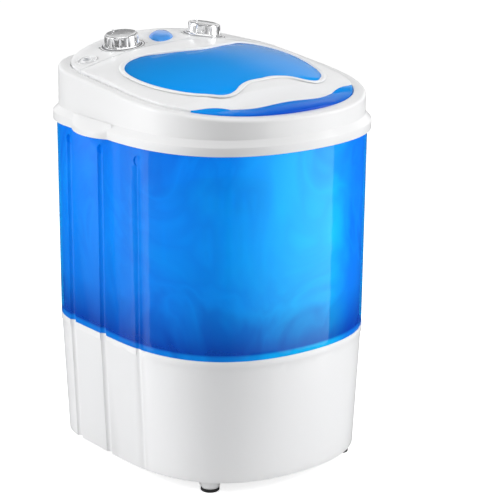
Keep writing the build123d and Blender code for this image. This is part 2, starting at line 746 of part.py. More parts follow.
with BuildPart() as pulsator:
    add(turned([(0, 184), (66, 184), (66, 187), (50, 189.5), (34, 195), (HUB_R, 204), (HUB_R, 214), (13, 216),
                (0, 216)], 0, DRIVE_Y))
    with BuildSketch(Plane.XY.offset(185)) as vanes:
        with Locations((0, DRIVE_Y)):
            with PolarLocations(36, 5):
                SlotOverall(48, 7)
    extrude(vanes.sketch, amount=15.5, taper=8)
    with BuildSketch(Plane.XY.offset(183)) as bore:
        with Locations((0, DRIVE_Y)):
            Circle(SHAFT + 0.02)
    extrude(bore.sketch, amount=27, mode=Mode.SUBTRACT)
    with BuildSketch(Plane.XY.offset(209)) as screw_hole:
        with Locations((0, DRIVE_Y)):
            Circle(2.2)
    extrude(screw_hole.sketch, amount=10, mode=Mode.SUBTRACT)
save(pulsator.part, "pulsator")

with BuildPart() as pulsator_screw:
    with BuildSketch(Plane.XY.offset(216.1)) as head:
        with Locations((0, DRIVE_Y)):
            Circle(4.2)
    extrude(head.sketch, amount=2.2)
    with BuildSketch(Plane.XY.offset(202)) as thread:
        with Locations((0, DRIVE_Y)):
            Circle(2)
    extrude(thread.sketch, amount=15)
save(pulsator_screw.part, "pulsator_screw")

with BuildPart() as drive_shaft:
    with BuildSketch(Plane.XY.offset(50)) as end:
        with Locations((0, DRIVE_Y)):
            Circle(SHAFT)
    extrude(end.sketch, amount=158)
    with BuildSketch(Plane.XY.offset(200)) as tapped:
        with Locations((0, DRIVE_Y)):
            Circle(2.05)
    extrude(tapped.sketch, amount=10, mode=Mode.SUBTRACT)
save(drive_shaft.part, "drive_shaft")

save(turned([(12, 92), (26, 92), (26, 168), (BEARING_R, 171.6), (BEARING_R, 176.6), (20, 176.6), (20, 181.5),
             (12, 181.5)], 0, DRIVE_Y), "bearing_housing")
with BuildPart() as bushings:
    add(turned([(SHAFT + 0.06, 93), (11.96, 93), (11.96, 108), (SHAFT + 0.06, 108)], 0, DRIVE_Y))
    add(turned([(SHAFT + 0.06, 158), (11.96, 158), (11.96, 173), (SHAFT + 0.06, 173)], 0, DRIVE_Y))
save(bushings.part, "bushings")
save(turned([(SHAFT + 0.08, 174), (11.9, 174), (11.9, 180.5), (8, 180.5), (7, 178), (SHAFT + 0.08, 180)],
            0, DRIVE_Y), "shaft_seal")

BIG_R, SMALL_R = 53.0, 10.0
BELT_THICK = 4.5


def pulley(groove_r, x, y, web):
    """Flanged pulley on its shaft; a wide one is hollowed to a web."""
    low, high = PULLEY_Z - 8, PULLEY_Z + 8
    flange = groove_r + BELT_THICK + 1
    rim_in = groove_r - 4
    if web:
        inner = [(rim_in, high), (rim_in, PULLEY_Z + 2), (12, PULLEY_Z + 2), (12, high + 4),
                 (SHAFT + 0.02, high + 4), (SHAFT + 0.02, low), (12, low), (12, PULLEY_Z - 2),
                 (rim_in, PULLEY_Z - 2), (rim_in, low)]
    else:
        inner = [(SHAFT + 0.02, high), (SHAFT + 0.02, low)]
    outer = [(flange, low), (flange, low + 2.5), (groove_r, low + 4), (groove_r, high - 4),
             (flange, high - 2.5), (flange, high)]
    return turned(outer + inner, x, y)


with BuildPart() as large_pulley:
    add(pulley(BIG_R, 0, DRIVE_Y, True))
    with BuildSketch(Plane.XY.offset(PULLEY_Z - 3)) as lightening:
        with Locations((0, DRIVE_Y)):
            with PolarLocations(30, 6):
                Circle(9)
    extrude(lightening.sketch, amount=6, mode=Mode.SUBTRACT)
save(large_pulley.part, "large_pulley")
save(pulley(SMALL_R, MOTOR_X, MOTOR_Y, False), "motor_pulley")


def belt_loop(big, small):
    """Two circles joined by their outer tangents."""
    span_x, span_y = MOTOR_X, MOTOR_Y - DRIVE_Y
    span = math.hypot(span_x, span_y)
    heading = math.atan2(span_y, span_x)
    lean = math.acos((big - small) / span)
    corners = []
    for turn, (cx, cy, r) in ((1, (0, DRIVE_Y, big)), (-1, (0, DRIVE_Y, big)),
                              (-1, (MOTOR_X, MOTOR_Y, small)), (1, (MOTOR_X, MOTOR_Y, small))):
        angle = heading + turn * lean
        corners.append((cx + r * math.cos(angle), cy + r * math.sin(angle)))
    with BuildLine() as loop:
        Polyline(*corners, close=True)
    make_face(loop.edges())
    with Locations((0, DRIVE_Y)):
        Circle(big)
    with Locations((MOTOR_X, MOTOR_Y)):
        Circle(small)


with BuildPart() as belt:
    with BuildSketch(Plane.XY.offset(PULLEY_Z - 3.2)) as outside:
        belt_loop(BIG_R + BELT_THICK, SMALL_R + BELT_THICK)
    extrude(outside.sketch, amount=6.4)
    with BuildSketch(Plane.XY.offset(PULLEY_Z - 3.3)) as inside:
        belt_loop(BIG_R + 0.3, SMALL_R + 0.3)
    extrude(inside.sketch, amount=6.6, mode=Mode.SUBTRACT)
save(belt.part, "drive_belt")

MOTOR_LOW, MOTOR_HIGH, MOTOR_R = 90.0, 156.0, 45.0
with BuildPart() as motor_case:
    add(turned([(SHAFT + 0.06, MOTOR_LOW - 6), (10, MOTOR_LOW - 6), (10, MOTOR_LOW), (38, MOTOR_LOW),
                (MOTOR_R, MOTOR_LOW + 6), (MOTOR_R, MOTOR_HIGH - 6), (38, MOTOR_HIGH), (0, MOTOR_HIGH),
                (0, MOTOR_LOW + 60), (SHAFT + 0.06, MOTOR_LOW + 60)], MOTOR_X, MOTOR_Y))
    with BuildSketch(Plane.XY.offset(MOTOR_LOW + 8)) as vents:
        with Locations((MOTOR_X, MOTOR_Y)):
            with PolarLocations(MOTOR_R, 12):
                Rectangle(5, 8)
    extrude(vents.sketch, amount=10, mode=Mode.SUBTRACT)
save(motor_case.part, "motor_case")

with BuildPart() as motor_shaft:
    with BuildSketch(Plane.XY.offset(PULLEY_Z - 9)) as end:
        with Locations((MOTOR_X, MOTOR_Y)):
            Circle(SHAFT)
    extrude(end.sketch, amount=MOTOR_LOW + 59 - PULLEY_Z + 9)
save(motor_shaft.part, "motor_shaft")

MOTOR_LUGS = [(MOTOR_X + dx, MOTOR_Y + dy) for dx in (-34, 34) for dy in (-34, 34)]
with BuildPart() as motor_bracket:
    with BuildSketch(Plane.XY.offset(MOTOR_HIGH + 0.2)) as plate:
        with Locations((MOTOR_X, MOTOR_Y)):
            RectangleRounded(84, 84, 10)
    extrude(plate.sketch, amount=3)
    with BuildSketch(Plane.XY.offset(MOTOR_HIGH + 2)) as posts:
        with Locations(*MOTOR_LUGS):
            Circle(6)
    extrude(posts.sketch, amount=SEAM_Z - BASE_WALL - MOTOR_HIGH - 2.1)
    with BuildSketch(Plane.XY.offset(MOTOR_HIGH)) as holes:
        with Locations(*MOTOR_LUGS):
            Circle(2.1)
    extrude(holes.sketch, amount=8, mode=Mode.SUBTRACT)
save(motor_bracket.part, "motor_bracket")

with BuildPart() as motor_screws:
    with BuildSketch(Plane.XY.offset(MOTOR_HIGH - 3)) as heads:
        with Locations(*MOTOR_LUGS):
            Circle(4)
    extrude(heads.sketch, amount=3)
    with BuildSketch(Plane.XY.offset(MOTOR_HIGH - 1)) as threads:
        with Locations(*MOTOR_LUGS):
            Circle(2)
    extrude(threads.sketch, amount=8)
save(motor_screws.part, "motor_screws")

with BuildPart() as capacitor:
    with BuildSketch(Plane.YZ.offset(-110)) as end:
        with Locations((-60, PLATE_Z + 2.5 + 17.3)):
            Circle(17)
    extrude(end.sketch, amount=58)
    chamfer(capacitor.edges().filter_by(GeomType.CIRCLE), 1.5)
save(capacitor.part, "capacitor")

# ---- drain and cord entry ----
BACK_WALL_Y = 171.0
SPIGOT_R, SPIGOT_END = 10.0, 181.9
with BuildPart() as drain_pipe:
    with BuildLine() as route:
        FilletPolyline((-100, 60, 188.6), (-100, 60, SPIGOT_Z), (SPIGOT_X, 120, SPIGOT_Z),
                       (SPIGOT_X, 148, SPIGOT_Z), radius=16)
    with BuildSketch(Plane(origin=(-100, 60, 188.6), z_dir=(0, 0, -1))) as ring:
        Circle(9)
        Circle(7, mode=Mode.SUBTRACT)
    sweep(ring.sketch, path=route.line)
save(drain_pipe.part, "drain_pipe")

with BuildPart() as drain_spigot:
    for start, end, radius in ((148.4, 160, 9.4), (160, 166, 12.6), (166, SPIGOT_END, SPIGOT_R)):
        with BuildSketch(Plane.XZ.offset(-start)) as disc:
            with Locations((SPIGOT_X, SPIGOT_Z)):
                Circle(radius)
        extrude(disc.sketch, amount=start - end)
    with BuildSketch(Plane.XZ.offset(-148)) as bore:
        with Locations((SPIGOT_X, SPIGOT_Z)):
            Circle(7)
    extrude(bore.sketch, amount=-40, mode=Mode.SUBTRACT)
save(drain_spigot.part, "drain_spigot")

with BuildPart() as cord_gland:
    with BuildSketch(Plane.XZ.offset(-160)) as body:
        with Locations((GLAND_X, GLAND_Z)):
            Circle(7.7)
    extrude(body.sketch, amount=-16)
    with BuildSketch(Plane.XZ.offset(-(BACK_WALL_Y + 1.2))) as flange:
        with Locations((GLAND_X, GLAND_Z)):
            Circle(11)
    extrude(flange.sketch, amount=-3)
    with BuildSketch(Plane.XZ.offset(-150)) as bore:
        with Locations((GLAND_X, GLAND_Z)):
            Circle(3.6)
    extrude(bore.sketch, amount=-40, mode=Mode.SUBTRACT)
save(cord_gland.part, "cord_gland")

with BuildPart() as rear_channel:
    with BuildSketch(Plane.XY.offset(SEAM_Z + 0.4)) as section:
        with Locations((0, 180.2)):
            Rectangle(26, 3.8)
        with Locations((0, 179.2)):
            Rectangle(23, 2, mode=Mode.SUBTRACT)
    extrude(section.sketch, amount=COLLAR_LOW - SEAM_Z - 0.8)
save(rear_channel.part, "rear_channel")

with BuildPart() as overflow_duct:
    with BuildSketch(Plane.XY.offset(195)) as section:
        with Locations((0, 164.5)):
            RectangleRounded(60, 14, 3)
            RectangleRounded(56, 10, 2, mode=Mode.SUBTRACT)
    extrude(section.sketch, amount=208)
    with BuildSketch(Plane.XY.offset(401)) as cap:
        with Locations((0, 164.5)):
            RectangleRounded(60, 14, 3)
    extrude(cap.sketch, amount=2)
    with BuildSketch(Plane.XZ.offset(-150)) as slots:
        with Locations((0, 385)):
            with GridLocations(6, 0, 8, 1):
                SlotOverall(20, 3, rotation=90)
    extrude(slots.sketch, amount=-10, mode=Mode.SUBTRACT)
save(overflow_duct.part, "overflow_duct")

# ---- spin basket with its bail ----
BASKET_LOW, BASKET_HIGH = 206.6, 330.0
FLOOR_R, MOUTH_R, RING_R = 75.0, 85.0, 90.0
with BuildPart() as spin_basket:
    wall = 2.0
    inside = [(MOUTH_R - wall, BASKET_HIGH), (FLOOR_R - wall, BASKET_LOW + wall),
              (HUB_R + 2.5, BASKET_LOW + wall), (HUB_R + 2.5, BASKET_LOW + 14),
              (HUB_R + 0.5, BASKET_LOW + 14)]
    outside = [(HUB_R + 0.5, BASKET_LOW), (FLOOR_R, BASKET_LOW), (MOUTH_R, BASKET_HIGH - 9),
               (RING_R, BASKET_HIGH - 9), (RING_R, BASKET_HIGH)]
    add(turned(outside + inside, 0, DRIVE_Y))
    with BuildSketch(Plane.XY.offset(BASKET_LOW + 12)) as slots:
        with Locations((0, DRIVE_Y)):
            with PolarLocations(RING_R - 8, 36):
                Rectangle(24, 4.6)
    extrude(slots.sketch, amount=44, mode=Mode.SUBTRACT)
    with BuildSketch(Plane.XY.offset(BASKET_LOW + 62)) as high_slots:
        with Locations((0, DRIVE_Y)):
            with PolarLocations(RING_R - 8, 36):
                Rectangle(24, 4.6)
    extrude(high_slots.sketch, amount=44, mode=Mode.SUBTRACT)
    with BuildSketch(Plane.XY.offset(BASKET_LOW - 1)) as holes:
        with Locations((0, DRIVE_Y)):
            for radius in (40, 52, 64):
                with PolarLocations(radius, 24):
                    Circle(2.2)
    extrude(holes.sketch, amount=4, mode=Mode.SUBTRACT)
    # Notches in the mouth ring and two ears for the bail.
    with BuildSketch(Plane.XY.offset(BASKET_HIGH - 5)) as notches:
        with Locations((0, DRIVE_Y)):
            with PolarLocations(87.5, 12, start_angle=15):
                Rectangle(2.4, 12)
    extrude(notches.sketch, amount=6, mode=Mode.SUBTRACT)
    for x in (-88.2, 85.6):
        with BuildSketch(Plane.YZ.offset(x)) as ear:
            with Locations((DRIVE_Y, BASKET_HIGH + 3.5)):
                Circle(4)
            with Locations((DRIVE_Y, BASKET_HIGH + 1)):
                Rectangle(8, 5)
        extrude(ear.sketch, amount=2.6)
    with BuildSketch(Plane.YZ.offset(-95)) as pivot:
        with Locations((DRIVE_Y, BASKET_HIGH + 3.5)):
            Circle(1.66)
    extrude(pivot.sketch, amount=190, mode=Mode.SUBTRACT)
save(spin_basket.part, "spin_basket")

save(turned([(0, BASKET_LOW + 15), (20, BASKET_LOW + 15), (20, BASKET_LOW + 3), (26, BASKET_LOW + 2.2),
             (26, BASKET_LOW + 4), (22, BASKET_LOW + 17), (14, BASKET_LOW + 19), (0, BASKET_LOW + 20)],
            0, DRIVE_Y), "basket_hub")

with BuildPart() as basket_bail:
    bail_z = BASKET_HIGH + 3.5
    with BuildLine() as route:
        arc = CenterArc((0, DRIVE_Y, bail_z), 82, 180, 180)
    with BuildSketch(Plane(origin=arc @ 0, z_dir=arc % 0)) as wire:
        Circle(1.6)
    sweep(wire.sketch, path=route.line)
    for x in (-88.4, 80.5):
        with BuildSketch(Plane.YZ.offset(x)) as end:
            with Locations((DRIVE_Y, bail_z)):
                Circle(1.6)
        extrude(end.sketch, amount=7.9)
save(basket_bail.part, "basket_bail")
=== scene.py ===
import json
import math

import bpy
from mathutils import Matrix, Vector
from mathutils.bvhtree import BVHTree


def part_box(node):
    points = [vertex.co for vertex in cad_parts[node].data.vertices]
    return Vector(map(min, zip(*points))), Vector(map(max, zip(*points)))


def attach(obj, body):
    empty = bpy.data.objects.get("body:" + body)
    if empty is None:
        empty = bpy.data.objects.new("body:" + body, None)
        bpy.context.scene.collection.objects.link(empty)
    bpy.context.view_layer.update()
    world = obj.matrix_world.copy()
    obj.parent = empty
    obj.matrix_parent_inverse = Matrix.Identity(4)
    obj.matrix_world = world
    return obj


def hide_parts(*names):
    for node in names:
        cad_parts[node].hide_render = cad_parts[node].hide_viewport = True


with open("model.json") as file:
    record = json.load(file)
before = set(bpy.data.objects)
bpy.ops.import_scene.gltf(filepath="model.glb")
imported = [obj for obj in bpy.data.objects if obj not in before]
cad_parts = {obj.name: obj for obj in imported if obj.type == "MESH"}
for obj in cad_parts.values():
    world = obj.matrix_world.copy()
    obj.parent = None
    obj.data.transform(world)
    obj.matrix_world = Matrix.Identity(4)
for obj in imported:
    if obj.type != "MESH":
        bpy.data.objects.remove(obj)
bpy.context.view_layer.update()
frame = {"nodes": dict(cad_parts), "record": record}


# ---- camera, light and floor ----
CAMERA_PLACE = (-1.4422, -1.8700, 0.9558)
CAMERA_AZIMUTH, CAMERA_ELEVATION, CAMERA_ROLL = -37.7911, 17.0282, 0.2864    # degrees
CAMERA_LENS, CAMERA_SENSOR = 142.64, 36    # mm
CAMERA_SHIFT = (0.0535, 0.0339)


def make_camera():
    """Long lens from the machine's front left, a little above it."""
    azimuth, elevation = math.radians(CAMERA_AZIMUTH), math.radians(CAMERA_ELEVATION)
    back = Vector((math.sin(azimuth) * math.cos(elevation), -math.cos(azimuth) * math.cos(elevation),
                   math.sin(elevation)))
    right = Vector((math.cos(azimuth), math.sin(azimuth), 0))
    turn = Matrix((right, back.cross(right), back)).transposed()
    data = bpy.data.cameras.new("camera")
    data.lens, data.sensor_width = CAMERA_LENS, CAMERA_SENSOR
    data.shift_x, data.shift_y = CAMERA_SHIFT
    camera = bpy.data.objects.new("camera", data)
    roll = Matrix.Rotation(math.radians(CAMERA_ROLL), 3, "Z")
    camera.matrix_world = Matrix.Translation(CAMERA_PLACE) @ (turn @ roll).to_4x4()
    bpy.context.scene.collection.objects.link(camera)
    bpy.context.scene.camera = camera


def area_light(name, place, target, size, power):
    """Rectangular lamp at a place, turned to its target; size in metres, power in watts."""
    data = bpy.data.lights.new(name, "AREA")
    data.shape, data.size, data.size_y = "RECTANGLE", size[0], size[1]
    data.energy = power
    lamp = bpy.data.objects.new(name, data)
    lamp.location = place
    lamp.rotation_euler = (Vector(target) - Vector(place)).to_track_quat("-Z", "Y").to_euler()
    lamp.visible_camera = False
    bpy.context.scene.collection.objects.link(lamp)


CARD_LOW, CARD_HIGH = -0.1, 0.75


def reflector(name, path, bright):
    """Standing card beside the tub, seen only as a reflection and a soft fill light.
    bright holds the glow at the first and last point of its path."""
    verts, faces = [], []
    for x, y in path:
        verts += [(x, y, CARD_LOW), (x, y, CARD_HIGH)]
    for i in range(len(path) - 1):
        faces.append((2 * i, 2 * i + 2, 2 * i + 3, 2 * i + 1))
    mesh = bpy.data.meshes.new(name)
    mesh.from_pydata(verts, [], faces)
    glow = mesh.attributes.new("glow", "FLOAT", "POINT")
    for i in range(len(path)):
        share = i / (len(path) - 1)
        for k in (2 * i, 2 * i + 1):
            glow.data[k].value = bright[0] + (bright[1] - bright[0]) * share ** 1.5
    card = bpy.data.objects.new(name, mesh)
    bpy.context.scene.collection.objects.link(card)
    material = bpy.data.materials.new(name)
    material.use_nodes = True
    tree = material.node_tree
    tree.nodes.clear()
    out = tree.nodes.new("ShaderNodeOutputMaterial")
    emission = tree.nodes.new("ShaderNodeEmission")
    attribute = tree.nodes.new("ShaderNodeAttribute")
    attribute.attribute_name = "glow"
    tree.links.new(attribute.outputs["Fac"], emission.inputs["Strength"])
    tree.links.new(emission.outputs[0], out.inputs["Surface"])
    mesh.materials.append(material)
    card.visible_camera = card.visible_shadow = card.visible_transmission = False


# Brightness of the studio by height: 0 at the horizon, 1 straight overhead.
SKY = ((0.0, 0.03), (0.03, 0.76), (0.30, 0.76), (0.44, 0.17))


def make_world():
    """Dark at the horizon, a white band above it, and grey overhead."""
    world = bpy.data.worlds.new("studio")
    bpy.context.scene.world = world
    world.use_nodes = True
    nodes, links = world.node_tree.nodes, world.node_tree.links
    nodes.clear()
    out = nodes.new("ShaderNodeOutputWorld")
    sky = nodes.new("ShaderNodeBackground")
    coords = nodes.new("ShaderNodeTexCoord")
    split = nodes.new("ShaderNodeSeparateXYZ")
    ramp = nodes.new("ShaderNodeValToRGB")
    while len(ramp.color_ramp.elements) < len(SKY):
        ramp.color_ramp.elements.new(0.5)
    for element, (height, bright) in zip(ramp.color_ramp.elements, SKY):
        element.position = height
        element.color = (bright, bright, bright, 1)
    links.new(coords.outputs["Generated"], split.inputs[0])
    links.new(split.outputs["Z"], ramp.inputs["Fac"])
    links.new(ramp.outputs["Color"], sky.inputs["Color"])
    links.new(sky.outputs[0], out.inputs["Surface"])


FLOOR_HALF = 14


def make_floor():
    """Plain white floor, wide enough to be the backdrop as well."""
    mesh = bpy.data.meshes.new("floor")
    corners = [(x * FLOOR_HALF, y * FLOOR_HALF, 0) for x, y in ((-1, -1), (1, -1), (1, 1), (-1, 1))]
    mesh.from_pydata(corners, [], [(0, 1, 2, 3)])
    floor = bpy.data.objects.new("floor", mesh)
    bpy.context.scene.collection.objects.link(floor)
    material = bpy.data.materials.new("floor")
    material.use_nodes = True
    tree = material.node_tree
    shader = tree.nodes["Principled BSDF"]
    shader.inputs["Roughness"].default_value = 0.8
    shader.inputs["Specular IOR Level"].default_value = 0.1
    shader.inputs["Emission Color"].default_value = (1, 1, 1, 1)
    # The backdrop is white to the eye and throws only a little light back up.
    path = tree.nodes.new("ShaderNodeLightPath")
    for socket, dim, bright in (("Base Color", 0.78, 0.93), ("Emission Strength", 0.0, 0.75)):
        span = tree.nodes.new("ShaderNodeMapRange")
        span.inputs["To Min"].default_value, span.inputs["To Max"].default_value = dim, bright
        tree.links.new(path.outputs["Is Camera Ray"], span.inputs["Value"])
        tree.links.new(span.outputs[0], shader.inputs[socket])
    mesh.materials.append(material)
    floor.visible_glossy = False


def make_lights():
    """Lamps overhead and at both sides, and two standing cards that mirror in the tub."""
    area_light("top_light", (0.1, -0.1, 2.2), (0, 0, 0.4), (1.8, 1.8), 16)
    area_light("left_light", (-1.5, 0.9, 0.9), (0, 0, 0.25), (1.0, 1.2), 28)
    area_light("right_light", (1.15, -1.25, 0.9), (0, 0, 0.25), (1.0, 1.2), 19)
    reflector("left_card", [(-0.414, 0.413), (-0.461, 0.322), (-0.508, 0.230), (-0.555, 0.139)],
              (0.15, 1.1))
    reflector("right_card", [(-0.336, -0.594), (-0.18, -0.635), (-0.02, -0.655), (0.148, -0.640),
                             (0.30, -0.575), (0.45, -0.455)], (0.10, 1.5))


# ---- materials ----
class Look:
    """One procedural material: a Principled shader and the nodes that feed it."""

    def __init__(self, name):
        self.material = bpy.data.materials.new(name)
        self.material.use_nodes = True
        self.tree = self.material.node_tree
        self.shader = self.tree.nodes["Principled BSDF"]
        self.place = self.node("ShaderNodeTexCoord").outputs["Object"]

    def node(self, kind, **settings):
        """New shader node with its settings."""
        made = self.tree.nodes.new(kind)
        for key, value in settings.items():
            setattr(made, key, value)
        return made

    def link(self, source, target):
        self.tree.links.new(source, target)

    def set(self, **values):
        """Constants on the shader's own sockets, named with _ for a space."""
        for key, value in values.items():
            self.shader.inputs[key.replace("_", " ")].default_value = value

    def noise(self, scale, detail=3, stretch=(1, 1, 1), twist=0.0):
        """Noise from 0 to 1, mostly near the middle, with scale in features per metre."""
        mapping = self.node("ShaderNodeMapping")
        mapping.inputs["Scale"].default_value = stretch
        texture = self.node("ShaderNodeTexNoise")
        texture.inputs["Scale"].default_value = scale
        texture.inputs["Detail"].default_value = detail
        texture.inputs["Distortion"].default_value = twist
        self.link(self.place, mapping.inputs["Vector"])
        self.link(mapping.outputs[0], texture.inputs["Vector"])
        return texture.outputs["Fac"]

    def ramp(self, source, stops):
        """Colour picked by a value, from (value, colour) stops."""
        ramp = self.node("ShaderNodeValToRGB")
        while len(ramp.color_ramp.elements) < len(stops):
            ramp.color_ramp.elements.new(0.5)
        for element, (position, colour) in zip(ramp.color_ramp.elements, stops):
            element.position = position
            element.color = (*colour, 1)
        self.link(source, ramp.inputs["Fac"])
        return ramp.outputs["Color"]

    def span(self, source, low, high, to_low=0.0, to_high=1.0):
        """A value between low and high, moved to lie between to_low and to_high."""
        node = self.node("ShaderNodeMapRange")
        for name, value in (("From Min", low), ("From Max", high), ("To Min", to_low), ("To Max", to_high)):
            node.inputs[name].default_value = value
        self.link(source, node.inputs["Value"])
        return node.outputs[0]

    def axis(self, name):
        """The X, Y or Z of the point, in metres."""
        split = self.node("ShaderNodeSeparateXYZ")
        self.link(self.place, split.inputs[0])
        return split.outputs[name]

    def product(self, first, second):
        """Two colours multiplied. A Mix node keeps its colours on inputs 6 and 7, and output 2."""
        node = self.node("ShaderNodeMix", data_type="RGBA", blend_type="MULTIPLY")
        node.inputs[0].default_value = 1.0
        self.link(first, node.inputs[6])
        self.link(second, node.inputs[7])
        return node.outputs[2]

    def colour(self, source):
        self.link(source, self.shader.inputs["Base Color"])

    def rough(self, source, low, high):
        """Roughness between low and high. A noise seldom leaves 0.3 to 0.7."""
        self.link(self.span(source, 0.3, 0.7, low, high), self.shader.inputs["Roughness"])

    def bump(self, source, strength, distance):
        """Relief of at most distance, in metres."""
        node = self.node("ShaderNodeBump")
        node.inputs["Strength"].default_value = strength
        node.inputs["Distance"].default_value = distance
        self.link(source, node.inputs["Height"])
        self.link(node.outputs[0], self.shader.inputs["Normal"])


def moulded(name, dark, light, low, high, coat):
    """Moulded plastic: faint cloudiness, and a fine skin that breaks up the gloss."""
    look = Look(name)
    look.colour(look.ramp(look.noise(9), [(0.35, dark), (0.65, light)]))
    look.rough(look.noise(38, 4), low, high)
    look.bump(look.noise(900, 2), 0.05, 0.00005)
    look.set(Coat_Weight=coat, Coat_Roughness=0.06)
    return look.material


def see_through(look, share, tint):
    """Lets a share of the light straight through, tinted at each face."""
    clear = look.node("ShaderNodeBsdfTransparent")
    clear.inputs["Color"].default_value = (*tint, 1)
    blend = look.node("ShaderNodeMixShader")
    blend.inputs[0].default_value = 1 - share
    look.link(clear.outputs[0], blend.inputs[1])
    look.link(look.shader.outputs[0], blend.inputs[2])
    look.link(blend.outputs[0], look.tree.nodes["Material Output"].inputs["Surface"])


def tub_blue():
    """Clear blue wall: a painted highlight in cyan where the foot catches the light, deeper at the bottom,
    painted shade darker towards both sides, cloudy inside, and a painted glow.
    """
    low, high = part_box("tub")
    tall = high.z - low.z
    look = Look("tub_blue")
    height = look.span(look.axis("Z"), low.z, high.z)
    # Painted highlight: a cyan band along the foot of the tub; above it darker at the bottom and lighter
    # higher up.
    height_ramp_with_foot_highlight = look.ramp(height, [(0.0, (0.0, 0.55, 0.80)), (5.0 / 256, (0.0, 0.50, 0.78)),
                              (8.0 / 256, (0.0, 0.12, 0.42)), (0.10, (0.0, 0.26, 0.56)),
                              (0.24, (0.0, 0.50, 0.82)), (0.55, (0.0, 0.62, 0.93)), (1.0, (0.0, 0.53, 0.90))])
    cloud = look.ramp(look.noise(7, 3, (1, 1, 0.8), 1.6),
                      [(0.36, (0.62, 0.66, 0.84)), (0.47, (0.92, 0.94, 1.0)), (0.53, (0.74, 0.82, 0.94)),
                       (0.66, (1, 1.0, 1))])
    # Painted shade: the wall is darker towards both sides.
    across = look.ramp(look.span(look.axis("X"), low.x, high.x),
                       [(0.0, (1, 0.40, 0.80)), (0.14, (1, 0.52, 0.86)), (0.24, (1, 0.66, 0.95)),
                        (0.34, (1, 0.82, 1.0)), (0.44, (1, 0.95, 1.0)), (0.60, (1, 0.95, 1.0)),
                        (0.72, (1, 0.45, 0.95))])
    blue = look.product(look.product(height_ramp_with_foot_highlight, cloud), across)
    look.colour(blue)
    # Painted glow: the blue also feeds the emission, so the wall glows like backlit plastic though it is no
    # lamp.
    look.link(blue, look.shader.inputs["Emission Color"])
    look.rough(look.noise(16), 0.30, 0.40)
    look.bump(look.noise(3, 2), 0.05, tall * 0.01)
    look.set(Specular_IOR_Level=0.2, Coat_Weight=1.0, Coat_Roughness=0.015, Emission_Strength=0.42)
    see_through(look, 0.40, (0.0, 0.75, 0.98))
    return look.material


def lid_blue():
    """Clear blue lid with painted shade from front to back: darkest at the front, lightest a little behind
    it, darker again towards the back, and a faint painted glow.
    """
    low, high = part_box("lid_shell")
    look = Look("lid_blue")
    depth = look.span(look.axis("Y"), low.y, high.y)
    # Painted shade by depth, from the front of the lid to its back.
    shade = look.ramp(depth, [(0.0, (0.0, 0.09, 0.58)), (0.22, (0.0, 0.40, 0.92)),
                              (0.50, (0.0, 0.36, 0.84)), (0.80, (0.0, 0.28, 0.70))])
    look.colour(shade)
    # Painted glow: the shade colour also feeds a faint emission, though the lid is no lamp.
    look.link(shade, look.shader.inputs["Emission Color"])
    look.rough(look.noise(20), 0.19, 0.26)
    look.bump(look.noise(5, 2), 0.05, 0.002)
    look.set(Specular_IOR_Level=0.1, Coat_Weight=0.25, Coat_Roughness=0.02, Emission_Strength=0.12)
    see_through(look, 0.30, (0.0, 0.55, 0.98))
    return look.material


def leaf_blue():
    """Glossy solid blue of the leaf on the panel."""
    look = Look("leaf_blue")
    look.colour(look.ramp(look.noise(24, 2), [(0.35, (0.03, 0.22, 0.74)), (0.65, (0.07, 0.33, 0.86))]))
    look.rough(look.noise(60), 0.10, 0.18)
    look.bump(look.noise(700, 2), 0.04, 0.0002)
    look.set(Specular_IOR_Level=0.2, Coat_Weight=0.25, Coat_Roughness=0.03)
    return look.material


def chrome():
    """Bright plated plastic of the timer knobs."""
    look = Look("chrome_knob")
    look.colour(look.ramp(look.noise(45), [(0.3, (0.82, 0.83, 0.84)), (0.7, (0.92, 0.92, 0.93))]))
    look.rough(look.noise(130, 3), 0.10, 0.17)
    look.bump(look.noise(260, 2), 0.05, 0.0002)
    look.set(Metallic=0.78)
    return look.material


def steel(name, dark, light, low, high, stretch):
    """Turned or rolled metal with fine streaks."""
    look = Look(name)
    look.colour(look.ramp(look.noise(30), [(0.3, dark), (0.7, light)]))
    look.rough(look.noise(220, 2, stretch), low, high)
    look.bump(look.noise(420, 2, stretch), 0.12, 0.0003)
    look.set(Metallic=1.0)
    return look.material


def enamel():
    """Black paint of the motor case and its bracket, with a slight orange peel."""
    look = Look("painted_metal")
    look.colour(look.ramp(look.noise(14), [(0.35, (0.018, 0.018, 0.020)), (0.65, (0.030, 0.030, 0.033))]))
    look.rough(look.noise(50), 0.30, 0.45)
    look.bump(look.noise(300, 3), 0.15, 0.0004)
    look.set(Coat_Weight=0.3, Coat_Roughness=0.25)
    return look.material


def rubber():
    """Matt black rubber."""
    look = Look("rubber")
    look.colour(look.ramp(look.noise(40), [(0.35, (0.020, 0.020, 0.021)), (0.65, (0.038, 0.038, 0.040))]))
    look.rough(look.noise(120), 0.55, 0.75)
    look.bump(look.noise(800, 3), 0.3, 0.0004)
    return look.material


# Slot: darker colour, lighter colour, lowest and highest roughness, and coat.
MOULDED = {
    "shell_white": ((0.880, 0.882, 0.886), (0.885, 0.887, 0.891), 0.29, 0.32, 0.2),
    "panel_white": ((0.885, 0.888, 0.894), (0.891, 0.894, 0.899), 0.29, 0.32, 0.1),
    "basket_blue": ((0.40, 0.66, 0.84), (0.52, 0.76, 0.90), 0.29, 0.37, 0.2),
    "basket_white": ((0.74, 0.82, 0.87), (0.82, 0.88, 0.91), 0.29, 0.37, 0.2),
    "pulsator_white": ((0.70, 0.79, 0.85), (0.78, 0.86, 0.90), 0.29, 0.38, 0.2),
    "black_plastic": ((0.014, 0.014, 0.015), (0.026, 0.026, 0.028), 0.40, 0.55, 0.0),
    "grey_plastic": ((0.20, 0.21, 0.22), (0.27, 0.28, 0.29), 0.40, 0.55, 0.0),
}
